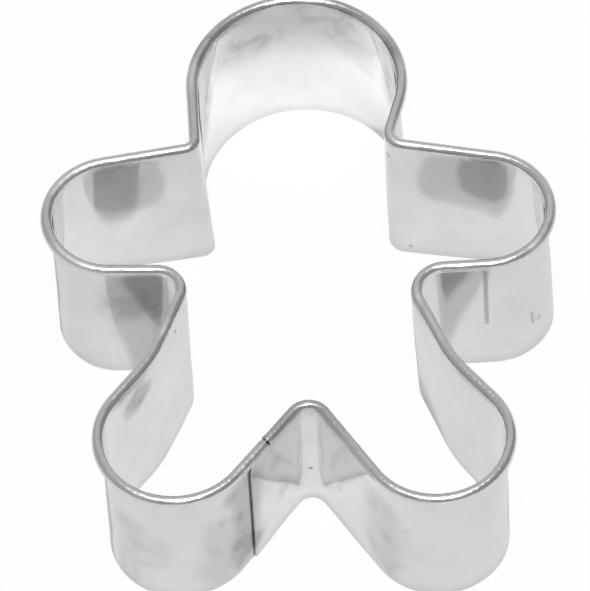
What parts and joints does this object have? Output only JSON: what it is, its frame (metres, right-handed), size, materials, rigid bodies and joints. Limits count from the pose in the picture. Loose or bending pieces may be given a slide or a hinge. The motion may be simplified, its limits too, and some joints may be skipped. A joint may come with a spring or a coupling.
{
  "type": "cookie cutter",
  "caption": "Gingerbread-man cookie cutter: a deep wall of tinned steel strip bent to the outline, with a curled rim on top and a lapped, spot-welded seam inside one leg.",
  "frame": {"origin": "centre of the outline on the plane of the cutting edge", "axes": "+Z from the cutting edge up to the curled rim, +Y from the feet to the head, +X across the figure"},
  "size_m": [0.072, 0.0876, 0.0254],
  "materials": {
    "tinplate": "bright tinned steel, satin mirror",
    "weld": "spot weld, slightly greyed"
  },
  "bodies": {
    "root": {"cutter_band": "tinplate", "spot_welds": "weld"}
  },
  "joints": []
}
